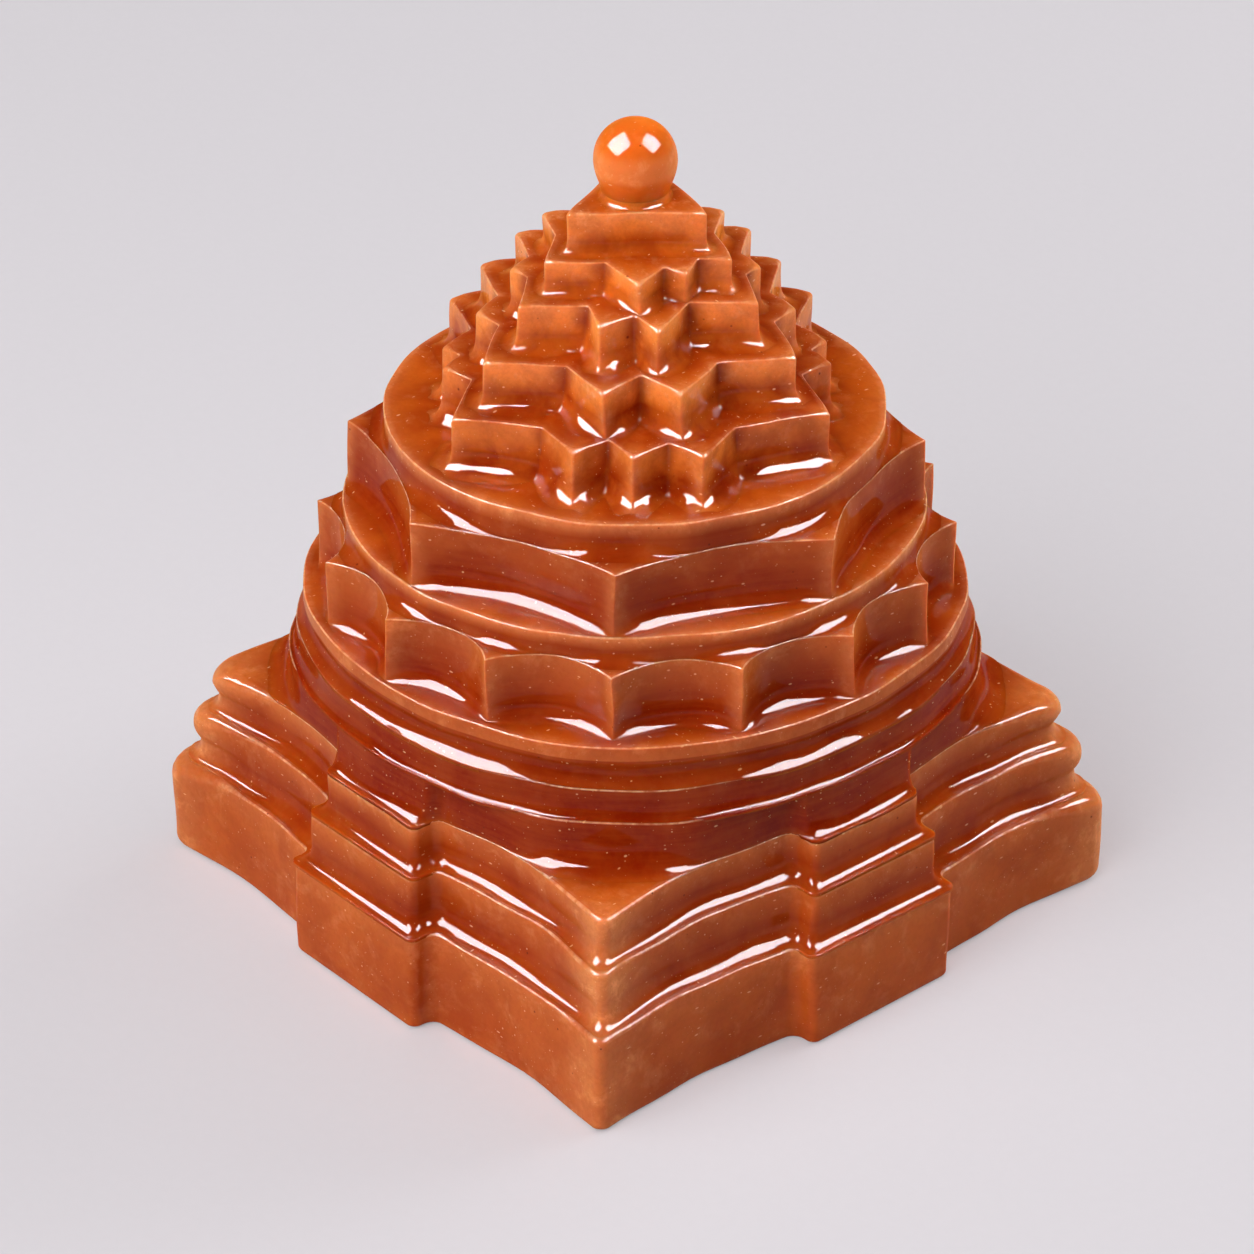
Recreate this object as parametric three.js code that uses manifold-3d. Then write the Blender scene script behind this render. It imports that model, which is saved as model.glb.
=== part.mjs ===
// A raised shri yantra, carved from one block of polished orange stone.
// Millimetres, +Z up. The origin is the middle of the flat underside, the four gates face along X and Y.
// Each mesh is one carved level of the block, from its tread up to the next tread.
// Every level rests flat on the one below, and most have a hollow cove at the foot of their wall.
import * as THREE from "three";
import { mergeVertices } from "three/addons/utils/BufferGeometryUtils.js";
import Module from "manifold-3d";

const wasm = await Module();
wasm.setup();

// The three square steps. half: middle to wall at the corner, gateReach: middle to the gate's face,
// gateHalf: half the gate's width, dip: how far the wall is swept in between corner and gate,
// coveReach and coveHeight: the hollow foot that runs out over the step below.
// The upper two are set back from the step below at their walls, gate faces and gate sides.
const lowerStep = { height: 9.2, half: 29.8, gateReach: 32.0, gateHalf: 8.2, dip: 0.7 };
const middleSetBack = { wall: 1.5, gate: 1.1, gateSide: 1.2 };
const middleStep = {
  ...setBackFrom(lowerStep, middleSetBack), height: 5.1, dip: 0.9, coveReach: 1.2, coveHeight: 0.9,
};
const upperSetBack = { wall: 1.3, gate: 1.1, gateSide: 0.9 };
const upperStep = {
  ...setBackFrom(middleStep, upperSetBack), height: 4.1, dip: 1.0, coveReach: 1.0, coveHeight: 0.7,
};
const stepCornerRadius = 1.1;
const gateCornerRadius = 0.6;
const gateRootRadius = 1.2;
const undersideEase = 0.6;

// How far each rim is set back from the one below, the lowest from the faces of the upper gates. petalTips:
// the sixteen petals from the upper girdle, scoops: the depth of the cuts between them, which reach in to the
// rim of the petal disc, wideScoops: the same between the eight petals, whose tips stand over that rim.
const setBack = {
  lowerGirdle: 0.4, middleGirdle: 0.6, upperGirdle: 0.5, petalTips: 0.8, scoops: 2.6, wideScoops: 3.6,
};

// The three girdle rings. radius: rim, squareness: how much further the rim stands out towards the
// corners of the base, wall: height of the upright band under the rim, coveReach: width of the hollow foot,
// hollow: how far the upper girdle is ground in under its band.
const lowerGirdle = {
  height: 4.3, radius: upperStep.gateReach - setBack.lowerGirdle, squareness: 0.7, wall: 1.9, coveReach: 2.2,
};
const middleGirdle = {
  height: 2.7, radius: lowerGirdle.radius - setBack.middleGirdle, squareness: 0.5, wall: 1.2, coveReach: 0.7,
};
const upperGirdle = {
  height: 3.7, radius: middleGirdle.radius - setBack.upperGirdle, squareness: 0.4, wall: 1.3, coveReach: 0.5,
  hollow: 0.4,
};

// The two lotus tiers, whose petals are the points left between neighbouring wheel-cut scoops, and the discs
// that stand on them
const sixteenPetals = {
  height: 6.0, count: 16, tipRadius: upperGirdle.radius - setBack.petalTips, coveReach: 1.1, coveHeight: 1.3,
};
const petalDisc = {
  height: 2.2, radius: sixteenPetals.tipRadius - setBack.scoops, wall: 1.2, coveReach: 1.2,
};
const eightPetals = { height: 5.7, count: 8, tipRadius: petalDisc.radius, coveReach: 1.4, coveHeight: 1.6 };
const summitDisc = {
  height: 2.8, radius: eightPetals.tipRadius - setBack.wideScoops, wall: 1.4, coveReach: 1.4,
};

// The four pointed tiers. half: the corners, tips and notches round half of the outline, from the left end
// of the front to the right end of the back, x to the right and y towards the front. The other half is the
// same half turned round. Their front is the side with the flat edge of the central triangle.
const tierTurn = THREE.MathUtils.degToRad(51);
const fourteenPoints = {
  height: 4.7, coveReach: 0.7, coveHeight: 0.8,
  half: [
    [-15.6, 11.2], [-8.2, 13.1], [-5.8, 17.4], [-2.9, 15.3], [-0.9, 18.5], [2.1, 16.1], [4.8, 18.3],
    [7.8, 13.6], [15.6, 11.2], [13.9, 4.6], [16.4, 2.1], [14.8, 0], [16.4, -2.1], [13.9, -4.6],
  ],
};
const outerTenPoints = {
  height: 4.1, coveReach: 0.6, coveHeight: 0.7,
  half: [
    [-13.0, 9.3], [-6.2, 10.2], [-3.2, 15.2], [0, 11.8], [3.2, 15.4], [6.4, 10.0], [13.0, 9.3],
    [11.5, 2.6], [13.5, 0], [11.5, -2.6],
  ],
};
const innerTenPoints = {
  height: 4.0, coveReach: 0.6, coveHeight: 0.7,
  half: [
    [-10.0, 7.1], [-4.4, 7.3], [-3.3, 11.0], [-0.4, 9.2], [1.4, 11.9], [4.2, 6.9], [10.0, 7.1],
    [9.0, 1.9], [10.5, 0], [9.0, -1.9],
  ],
};
const eightPoints = {
  height: 2.9, coveReach: 0.5, coveHeight: 0.6,
  half: [
    [-7.7, 4.9], [-2.7, 5.2], [0, 9.2], [2.1, 6.0], [4.0, 7.1], [5.0, 4.7], [7.7, 4.9], [6.7, 0],
  ],
};
const centralTriangle = {
  height: 3.6, halfWidth: 5.9, frontReach: 3.4, apexReach: 8.8, coveReach: 0.5, coveHeight: 0.6,
};

// The bindu: a ball that sits a little way down in its collar
const collar = { height: 0.6, topRadius: 2.5, footRadius: 3.3 };
const ball = { radius: 3.5, seatDepth: 0.8 };

const lip = 0.12; // thickness of each cove's thin outer edge
const coveSteps = 3;
const circleSteps = 56;

const stoneColours = { deep: 0xb2421a, middle: 0xc4511f, bright: 0xd96a2a, ball: 0xe9792c };

// Solids

function solidOf(geometry) {
  geometry.deleteAttribute("normal");
  geometry.deleteAttribute("uv");
  const merged = mergeVertices(geometry, 1e-4);
  return new wasm.Manifold(new wasm.Mesh({
    numProp: 3,
    vertProperties: new Float32Array(merged.attributes.position.array),
    triVerts: new Uint32Array(merged.index.array),
  }));
}

function geometryOf(solid) {
  const { vertProperties, triVerts, numProp } = solid.getMesh();
  const positions = new Float32Array((vertProperties.length / numProp) * 3);
  for (let i = 0; i < positions.length / 3; i++) {
    for (let axis = 0; axis < 3; axis++) positions[3 * i + axis] = vertProperties[numProp * i + axis];
  }
  const geometry = new THREE.BufferGeometry();
  geometry.setAttribute("position", new THREE.BufferAttribute(positions, 3));
  geometry.setIndex(new THREE.BufferAttribute(new Uint32Array(triVerts), 1));
  geometry.computeVertexNormals();
  return geometry;
}

// A closed solid through outlines that have the same number of points, lowest first
function stacked(layers) {
  const count = layers[0].outline.length;
  const positions = layers.flatMap(({ outline, z }) => outline.flatMap((p) => [p.x, p.y, z]));
  const faces = [];
  for (let layer = 0; layer + 1 < layers.length; layer++) {
    for (let i = 0; i < count; i++) {
      const a = layer * count + i;
      const b = layer * count + ((i + 1) % count);
      faces.push(a, b, b + count, a, b + count, a + count);
    }
  }
  const top = (layers.length - 1) * count;
  for (const [a, b, c] of THREE.ShapeUtils.triangulateShape(layers[0].outline, [])) faces.push(a, c, b);
  for (const [a, b, c] of THREE.ShapeUtils.triangulateShape(layers.at(-1).outline, [])) {
    faces.push(top + a, top + b, top + c);
  }
  const geometry = new THREE.BufferGeometry();
  geometry.setAttribute("position", new THREE.Float32BufferAttribute(positions, 3));
  geometry.setIndex(faces);
  return solidOf(geometry);
}

function prism(outline, bottom, top) {
  return stacked([{ outline, z: bottom }, { outline, z: top }]);
}

// Outlines, each anticlockwise as seen from above

function setBackFrom(step, { wall, gate, gateSide }) {
  return {
    half: step.half - wall,
    gateReach: step.gateReach - gate,
    gateHalf: step.gateHalf - gateSide,
  };
}

// grow moves the walls of the outline out by that much.
function stepOutline(step, grow = 0) {
  const half = step.half + grow;
  const reach = step.gateReach + grow;
  const gateHalf = step.gateHalf + grow;
  const side = [];
  const arc = (x, y, radius, from, to, parts) => {
    for (let i = 0; i <= parts; i++) {
      const angle = THREE.MathUtils.degToRad(from + ((to - from) * i) / parts);
      side.push(new THREE.Vector2(x + radius * Math.cos(angle), y + radius * Math.sin(angle)));
    }
  };
  const wing = (from, to) => {
    for (let i = 1; i < 5; i++) {
      const share = i / 5;
      const x = THREE.MathUtils.lerp(from, to, share);
      side.push(new THREE.Vector2(x, -half + step.dip * Math.sin(Math.PI * share)));
    }
  };
  const corner = stepCornerRadius;
  const root = gateRootRadius;
  const nose = gateCornerRadius;
  arc(-half + corner, -half + corner, corner, 225, 270, 2);
  wing(-half + corner, -gateHalf - root);
  arc(-gateHalf - root, -half - root, root, 90, 0, 2);
  arc(-gateHalf + nose, -reach + nose, nose, 180, 270, 2);
  arc(gateHalf - nose, -reach + nose, nose, 270, 360, 2);
  arc(gateHalf + root, -half - root, root, 180, 90, 2);
  wing(gateHalf + root, half - corner);
  arc(half - corner, -half + corner, corner, 270, 315, 2);
  side.pop();
  const centre = new THREE.Vector2();
  return [0, 1, 2, 3].flatMap((quarter) =>
    side.map((p) => p.clone().rotateAround(centre, (quarter * Math.PI) / 2)));
}

// A circle whose radius swells towards the corners of the base
function ringOutline(radius, squareness = 0) {
  return Array.from({ length: circleSteps }, (_, i) => {
    const angle = (2 * Math.PI * i) / circleSteps;
    const r = radius - squareness * Math.cos(4 * angle);
    return new THREE.Vector2(r * Math.cos(angle), r * Math.sin(angle));
  });
}

// Points on a rim circle joined by hollow arcs that reach in to innerRadius.
function petalOutline({ count, tipRadius }, innerRadius, grow = 0) {
  const halfAngle = Math.PI / count;
  const halfChord = tipRadius * Math.sin(halfAngle);
  const depth = tipRadius * Math.cos(halfAngle) - innerRadius;
  const wheelRadius = (halfChord ** 2 + depth ** 2) / (2 * depth);
  const wheelCentre = innerRadius + wheelRadius;
  const cutRadius = wheelRadius - grow;
  // The grown arcs meet where the neighbouring wheels' circles cross the petal's middle line.
  const toMiddle = wheelCentre * Math.sin(halfAngle);
  const half = Math.asin(Math.min(1, toMiddle / cutRadius)) - halfAngle;
  const steps = count > 8 ? 4 : 7;
  const points = [];
  for (let petal = 0; petal < count; petal++) {
    const middle = (2 * petal + 1) * halfAngle;
    for (let i = 0; i < steps; i++) {
      const turn = THREE.MathUtils.lerp(-half, half, i / steps);
      const x = wheelCentre - cutRadius * Math.cos(turn);
      const y = cutRadius * Math.sin(turn);
      points.push(new THREE.Vector2(x, y).rotateAround(new THREE.Vector2(), middle));
    }
  }
  return points;
}

// An outline moved out by grow, each corner kept sharp
function grown(points, grow) {
  const count = points.length;
  return points.map((point, i) => {
    const before = point.clone().sub(points[(i + count - 1) % count]).normalize();
    const after = points[(i + 1) % count].clone().sub(point).normalize();
    const outBefore = new THREE.Vector2(before.y, -before.x);
    const outAfter = new THREE.Vector2(after.y, -after.x);
    const out = outBefore.clone().add(outAfter).normalize();
    return point.clone().addScaledVector(out, grow / out.dot(outAfter));
  });
}

// An outline given as x to the right and y towards the front of the tiers, turned to stand on the base
function turnedTier(points) {
  const centre = new THREE.Vector2();
  return points.map(([x, y]) => new THREE.Vector2(x, -y).rotateAround(centre, tierTurn));
}

function pointedOutline({ half }) {
  return turnedTier([...half, ...half.map(([x, y]) => [-x, -y])]);
}

function triangleOutline() {
  const { halfWidth, frontReach, apexReach } = centralTriangle;
  return turnedTier([[-halfWidth, frontReach], [halfWidth, frontReach], [0, -apexReach]]);
}

// Levels

// The quarter-round hollow at the foot of a wall: how far out it stands at each height
function covePoints(reach, height) {
  const points = [{ grow: reach, rise: 0 }, { grow: reach, rise: lip }];
  for (let i = 1; i <= coveSteps; i++) {
    const angle = (Math.PI / 2) * (i / coveSteps);
    points.push({ grow: reach * (1 - Math.sin(angle)), rise: lip + (height - lip) * (1 - Math.cos(angle)) });
  }
  return points;
}

// A level with an upright wall, a cove at its foot, and an outline that depends on how far it is grown
function covedLevel(outlineAt, bottom, level) {
  const layers = covePoints(level.coveReach, level.coveHeight).map(({ grow, rise }) => ({
    outline: outlineAt(grow),
    z: bottom + rise,
  }));
  layers.push({ outline: outlineAt(0), z: bottom + level.height });
  return stacked(layers);
}

function lowerGateStep(bottom) {
  return stacked([
    { outline: stepOutline(lowerStep, -undersideEase), z: bottom },
    { outline: stepOutline(lowerStep), z: bottom + undersideEase },
    { outline: stepOutline(lowerStep), z: bottom + lowerStep.height },
  ]);
}

function gateStep(step, bottom) {
  return covedLevel((grow) => stepOutline(step, grow), bottom, step);
}

function girdle(ring, bottom) {
  const outlineAt = (grow) => ringOutline(ring.radius + grow, ring.squareness);
  return covedLevel(outlineAt, bottom, { ...ring, coveHeight: ring.height - ring.wall });
}

// The upper girdle's band overhangs the hollow that is ground in below it.
function upperGirdleRing(bottom) {
  const { height, radius, squareness, wall, coveReach, hollow } = upperGirdle;
  const ledge = height - wall;
  const profile = [
    [coveReach, 0], [coveReach, lip], [0, ledge / 3], [-hollow, (2 * ledge) / 3], [0, ledge], [0, height],
  ];
  return stacked(profile.map(([grow, rise]) => ({
    outline: ringOutline(radius + grow, squareness),
    z: bottom + rise,
  })));
}

function lotusTier(petals, innerRadius, bottom) {
  return covedLevel((grow) => petalOutline(petals, innerRadius, grow), bottom, petals);
}

function disc(plate, bottom) {
  const outlineAt = (grow) => ringOutline(plate.radius + grow);
  return covedLevel(outlineAt, bottom, { ...plate, coveHeight: plate.height - plate.wall });
}

function covedTier(outline, bottom, tier) {
  return covedLevel((grow) => grown(outline, grow), bottom, tier);
}

function binduCollar(bottom) {
  const outlineAt = (grow) => ringOutline(collar.topRadius + grow);
  const coveReach = collar.footRadius - collar.topRadius;
  return covedLevel(outlineAt, bottom, { height: collar.height, coveReach, coveHeight: collar.height - lip });
}

function binduBall(seat) {
  const centre = seat + ball.radius - ball.seatDepth;
  const sphere = new THREE.SphereGeometry(ball.radius, 24, 16);
  sphere.rotateX(Math.PI / 2);
  sphere.translate(0, 0, centre);
  const room = 2 * ball.radius;
  const above = new THREE.BoxGeometry(room + 1, room + 1, room);
  above.translate(0, 0, seat + room / 2);
  return solidOf(sphere).intersect(solidOf(above));
}

// The block, level by level

const yantra = new THREE.Group();
let floor = 0;

// Adds a level that stands on the floor reached so far. Its cove is trimmed to the level below it.
function addLevel(name, colour, height, build, outlineBelow = null) {
  let solid = build(floor);
  if (outlineBelow) solid = solid.intersect(prism(outlineBelow, floor, floor + height));
  const material = new THREE.MeshStandardMaterial({ color: colour, roughness: 0.15, metalness: 0 });
  const mesh = new THREE.Mesh(geometryOf(solid), material);
  mesh.name = name;
  yantra.add(mesh);
  floor += height;
}

const { deep, middle, bright } = stoneColours;
const girdleOutline = (ring) => ringOutline(ring.radius, ring.squareness);

addLevel("lower_gate_step", deep, lowerStep.height, lowerGateStep);
addLevel("middle_gate_step", deep, middleStep.height, (z) => gateStep(middleStep, z), stepOutline(lowerStep));
addLevel("upper_gate_step", deep, upperStep.height, (z) => gateStep(upperStep, z), stepOutline(middleStep));
addLevel("lower_girdle", deep, lowerGirdle.height, (z) => girdle(lowerGirdle, z), stepOutline(upperStep));
addLevel(
  "middle_girdle", deep, middleGirdle.height,
  (z) => girdle(middleGirdle, z), girdleOutline(lowerGirdle),
);
addLevel("upper_girdle", middle, upperGirdle.height, upperGirdleRing, girdleOutline(middleGirdle));
addLevel(
  "sixteen_petal_lotus", middle, sixteenPetals.height,
  (z) => lotusTier(sixteenPetals, petalDisc.radius, z), ringOutline(sixteenPetals.tipRadius),
);
addLevel(
  "petal_disc", middle, petalDisc.height,
  (z) => disc(petalDisc, z), petalOutline(sixteenPetals, petalDisc.radius),
);
addLevel(
  "eight_petal_lotus", middle, eightPetals.height,
  (z) => lotusTier(eightPetals, summitDisc.radius, z), ringOutline(petalDisc.radius),
);
addLevel(
  "summit_disc", middle, summitDisc.height,
  (z) => disc(summitDisc, z), petalOutline(eightPetals, summitDisc.radius),
);

const pointedTiers = [
  ["fourteen_point_tier", fourteenPoints, pointedOutline(fourteenPoints)],
  ["outer_ten_point_tier", outerTenPoints, pointedOutline(outerTenPoints)],
  ["inner_ten_point_tier", innerTenPoints, pointedOutline(innerTenPoints)],
  ["eight_point_tier", eightPoints, pointedOutline(eightPoints)],
  ["central_triangle", centralTriangle, triangleOutline()],
];
let below = ringOutline(summitDisc.radius);
for (const [name, tier, outline] of pointedTiers) {
  addLevel(name, bright, tier.height, (z) => covedTier(outline, z, tier), below);
  below = outline;
}

addLevel("bindu_collar", bright, collar.height, binduCollar, below);
addLevel("bindu_ball", stoneColours.ball, 2 * ball.radius - ball.seatDepth, binduBall);

export default yantra;
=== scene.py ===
"""Raised shri yantra in polished orange stone: its carved levels, their finish, stage and camera."""
import math

import bpy
import numpy as np
from bpy.props import FloatProperty, FloatVectorProperty, PointerProperty
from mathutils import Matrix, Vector


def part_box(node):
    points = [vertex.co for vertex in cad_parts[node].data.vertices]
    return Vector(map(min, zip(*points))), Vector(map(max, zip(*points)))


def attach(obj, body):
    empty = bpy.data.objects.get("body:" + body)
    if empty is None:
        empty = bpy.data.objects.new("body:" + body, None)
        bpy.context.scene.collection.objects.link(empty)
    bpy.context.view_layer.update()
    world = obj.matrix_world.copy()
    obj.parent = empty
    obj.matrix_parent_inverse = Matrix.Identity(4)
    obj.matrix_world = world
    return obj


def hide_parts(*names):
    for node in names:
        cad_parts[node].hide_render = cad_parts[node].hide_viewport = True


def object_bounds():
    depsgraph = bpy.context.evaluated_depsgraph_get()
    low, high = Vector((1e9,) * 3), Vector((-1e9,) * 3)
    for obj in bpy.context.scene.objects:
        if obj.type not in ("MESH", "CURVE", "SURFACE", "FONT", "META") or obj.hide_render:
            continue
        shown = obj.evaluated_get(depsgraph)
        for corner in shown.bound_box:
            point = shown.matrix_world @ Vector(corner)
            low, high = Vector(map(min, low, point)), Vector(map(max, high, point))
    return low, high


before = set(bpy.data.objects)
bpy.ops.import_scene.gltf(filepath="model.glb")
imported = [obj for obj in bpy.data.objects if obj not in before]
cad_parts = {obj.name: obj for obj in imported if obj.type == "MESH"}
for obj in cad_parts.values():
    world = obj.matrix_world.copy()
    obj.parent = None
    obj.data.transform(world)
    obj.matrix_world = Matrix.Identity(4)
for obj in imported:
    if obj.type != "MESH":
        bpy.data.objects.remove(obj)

bl_info = {
    "name": "Raised shri yantra",
    "version": (1, 0, 0),
    "blender": (4, 5, 0),
    "location": "3D View > Sidebar > Yantra",
    "description": "Carves and polishes each level of a raised shri yantra in orange stone",
    "category": "Object",
}

MM = 0.001
CAD_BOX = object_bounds()

GATE_STEPS = ("lower_gate_step", "middle_gate_step", "upper_gate_step")
GIRDLES = ("lower_girdle", "middle_girdle", "upper_girdle")
LOTUS_TIERS = ("sixteen_petal_lotus", "eight_petal_lotus")
LOTUS_DISCS = ("petal_disc", "summit_disc")
POINTED_TIERS = (
    "fourteen_point_tier", "outer_ten_point_tier", "inner_ten_point_tier", "eight_point_tier",
)
TRIANGLE = "central_triangle"
COLLAR = "bindu_collar"
BALL = "bindu_ball"
LEVELS = (
    *GATE_STEPS, *GIRDLES, LOTUS_TIERS[0], LOTUS_DISCS[0], LOTUS_TIERS[1], LOTUS_DISCS[1],
    *POINTED_TIERS, TRIANGLE, COLLAR, BALL,
)

# From 0 to 1: how dark each level is painted, partly its deeper tone and partly painted shade, how much
# painted glow its walls get upwards, how dark the painted shade at its foot is
LEVEL_TONES_AND_PAINTED_LIGHT = {
    "lower_gate_step": (0.0, 0.29, 0.8),
    "middle_gate_step": (0.0, 0.22, 0.78),
    "upper_gate_step": (0.0, 0.42, 0.8),
    "lower_girdle": (0.92, 0.1, 1.0),
    "middle_girdle": (0.88, 0.15, 1.0),
    "upper_girdle": (0.12, 0.52, 1.0),
    "sixteen_petal_lotus": (0.20, 0.36, 0.95),
    "petal_disc": (0.0, 1.0, 0.75),
    "eight_petal_lotus": (0.42, 0.22, 0.95),
    "summit_disc": (0.02, 1.0, 0.7),
    "fourteen_point_tier": (0.42, 0.6, 1.0),
    "outer_ten_point_tier": (0.08, 1.0, 0.95),
    "inner_ten_point_tier": (0.0, 1.0, 0.85),
    "eight_point_tier": (0.0, 1.0, 0.72),
    "central_triangle": (0.0, 1.0, 0.72),
    "bindu_collar": (0.45, 1.0, 1.0),
    "bindu_ball": (0.0, 1.0, 1.0),
}

# Where the hollow foot of each level runs out over the tread under it, for the painted shade on that
# tread, filled in from the top down
FEET = {}

# The material slots that the record gives the stone
STONE = "stone"
THIN_STONE = "thin_stone"
BALL_STONE = "ball_stone"


# Sizes and colours that a user may change


def size(name, description, default):
    return FloatProperty(
        name=name, description=description, default=default * MM, unit="LENGTH", precision=5)


def sizes(name, description, *defaults):
    return FloatVectorProperty(
        name=name, description=description, size=len(defaults),
        default=[value * MM for value in defaults], unit="LENGTH", precision=5)


def shares(name, description, *defaults):
    return FloatVectorProperty(
        name=name, description=description, size=len(defaults), default=defaults, min=0, max=1)


def colour(name, description, default):
    return FloatVectorProperty(
        name=name, description=description, subtype="COLOR", default=default, min=0, max=1)


class PolishSizes(bpy.types.PropertyGroup):
    edge_round: size("Edge rounding", "Radius that polishing left on the edges of the treads", 0.14)
    petal_round: size("Petal rounding", "Radius of the upright edges of the petals", 0.14)
    tip_round: size("Point rounding", "Radius of the upright edges of the small points", 0.22)
    notch_round: size("Notch rounding", "Radius at the bottom of the notches between the points", 0.35)
    tip_wear: size("Point wear reach", "How far from a point its top edge is worn rounder", 0.9)
    front_roll: size("Front point rolls", "Radius of the top edge at the points in front", 0.40)
    back_roll: size("Back point rolls", "Radius of the top edge at the points at the back", 0.65)
    # Shade reach is how far painted shade runs; glow reach and fade reach are how far the painted glow
    # for light through points runs
    shade_reach: size("Shade reach", "How far the shade of a hollow foot runs over the tread", 1.5)
    glow_reach: size("Glow reach", "How far the light that comes through a point reaches", 1.3)
    fade_reach: size("Fade reach", "How far that light reaches in over the tread", 2.2)
    sink: size("Sink", "How far each level reaches into the one under it", 0.35)
    waviness: size("Hand waviness", "How far a hand-ground face strays from true", 0.10)
    wave_length: size("Waviness length", "Distance from one hand-ground hump to the next", 9.0)


class GateStepSizes(bpy.types.PropertyGroup):
    half: sizes("Half widths", "Middle to wall of the lower, middle and upper step", 29.8, 28.3, 27.0)
    gate_reach: sizes("Gate reaches", "Middle to the face of the gates", 32.0, 30.9, 29.8)
    gate_half: sizes("Gate half widths", "Half the width of the gates", 8.2, 7.0, 6.1)
    dip: sizes("Wall sweeps", "How far the walls are swept in", 0.7, 0.9, 1.0)
    cove_reach: sizes("Cove reaches", "Width of the hollow foot", 0.0, 1.25, 1.05)
    cove_height: sizes("Cove heights", "Height of the hollow foot", 0.0, 1.9, 1.6)
    corner_round: sizes("Corner rounding", "Radius of the upright left, near, right and back corner",
                        2.2, 0.9, 2.2, 1.8)
    corner_worn: shares("Corner wear", "How worn the left, near, right and back corners are",
                        1.0, 0.18, 1.0, 0.8)
    corner_roll: sizes("Corner rolls", "Radius of the top edges at a fully worn corner", 2.1, 1.6, 1.6)
    corner_reach: size("Corner reach", "How far from a corner its top edge is worn rounder", 6.5)
    corner_belly: size("Corner belly", "How far the walls draw in under the corner rolls", 0.45)
    # Corner glow and corner light set the painted glow that stands for light coming through the corners
    corner_glow: size("Corner glow", "How far the light that comes through a corner reaches", 4.5)
    corner_light: shares(
        "Corner light", "Light through the left, near, right and back corner of the lowest step",
        0.7, 0.5, 1.0, 0.9)
    gate_round: size("Gate rounding", "Radius of the upright corners of the gates", 0.8)
    gate_roll: size("Gate rolls", "Radius of the top edges at the corners of the gates", 0.7)
    gate_wear: size("Gate wear reach", "How far from a gate's corners its top edge is worn rounder", 1.6)
    gate_root: size("Gate root", "Radius where a gate leaves the wall", 1.2)
    foot_round: size("Foot rounding", "Radius under the lowest step", 0.5)


class GirdleSizes(bpy.types.PropertyGroup):
    radius: sizes("Rim radii", "Rims of the lower, middle and upper girdle", 29.4, 28.8, 28.3)
    squareness: sizes("Squareness", "How much further the rims stand out at the corners", 0.7, 0.5, 0.4)
    wall: sizes("Band heights", "Height of the upright band under the rim", 1.9, 1.2, 1.3)
    cove_reach: sizes("Cove reaches", "Width of the hollow foot", 2.2, 0.6, 0.5)
    hollow: size("Ground hollow", "Depth of the hollow ground in under the upper band", 0.4)


class LotusSizes(bpy.types.PropertyGroup):
    tip_radius: sizes("Petal tip radii", "Tips of the sixteen and of the eight petals", 27.5, 24.7)
    disc_radius: sizes("Disc radii", "Rims of the petal disc and of the summit disc", 24.9, 21.3)
    disc_wall: sizes("Disc band heights", "Height of the upright band of the discs", 1.2, 1.4)
    disc_cove: sizes("Disc coves", "Width of the hollow foot of the discs", 1.2, 1.4)
    cove_reach: sizes("Petal cove reaches", "Width of the hollow foot of the petals", 1.1, 1.4)
    cove_height: sizes("Petal cove heights", "Height of the hollow foot of the petals", 1.5, 1.9)


class TierSizes(bpy.types.PropertyGroup):
    cove_reach: sizes("Cove reaches", "Hollow feet of the tiers, lowest first", 2.0, 1.7, 1.6, 1.2, 1.1)
    cove_end: size("Cove ends", "How far from a corner the hollow foot narrows", 1.2)
    cove_height: sizes("Cove heights", "Height of the hollow feet", 1.7, 1.5, 1.4, 1.1, 1.0)
    # The notch shade is painted shade in the notches between the points
    notch_shade: size("Notch shade", "How far the darker stone of a notch reaches", 1.25)


class BinduSizes(bpy.types.PropertyGroup):
    radius: size("Ball radius", "Radius of the bindu", 3.5)
    neck: size("Neck radius", "Radius of the neck under the ball", 2.80)
    foot: size("Foot radius", "Radius where the neck runs out over the triangle", 3.22)
    # The pale band is a painted reflection of the bright floor round the ball's middle
    band: size("Band height", "Middle of the pale band in the ball, above the ball's centre", 0.2)
    band_half: size("Band half height", "Half the height of the pale band", 1.1)


class StoneAndPaintedLightColours(bpy.types.PropertyGroup):
    # The wall colour is the stone's own with a little painted pale haze for the floor's reflection in the
    # walls
    wall: colour("Wall", "Stone in the upright walls", (0.54, 0.102, 0.012))
    deep: colour("Clouds", "Darker clouds in the stone", (0.34, 0.040, 0.003))
    tread: colour("Tread", "Stone in the level treads", (0.56, 0.102, 0.005))
    # The hollow colour is painted shade: at the feet of the walls, in the notches between points and over
    # the darker levels
    hollow: colour("Hollow", "Stone at the foot of the walls", (0.225, 0.0105, 0.0004))
    # The points are painted lighter than the walls, partly their own tone and partly for light coming
    # through the thin tiers
    point: colour("Points", "Stone of the small points", (1.0, 0.26, 0.022))
    # The thin stone colour is painted glow where light would come through, and also the colour of the
    # real pale veils
    thin: colour("Thin stone", "Stone where light comes through an edge", (0.97, 0.37, 0.125))
    ball: colour("Ball", "Stone of the bindu", (0.88, 0.175, 0.014))
    # The edge line is a painted highlight along the rounded edges
    line: colour("Edge line", "The thinnest line of the edges", (1.0, 0.56, 0.30))
    fleck: colour("Flecks", "Fine pale flecks", (0.92, 0.50, 0.22))
    pit: colour("Pits", "Small dark pits", (0.14, 0.020, 0.004))
    floor: colour("Floor", "The stage under the stone", (0.42, 0.41, 0.425))


# Outlines, each anticlockwise as seen from above, in metres

# The way that the front of the photograph's view faces
FRONT = (0.755, -0.656)

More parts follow.
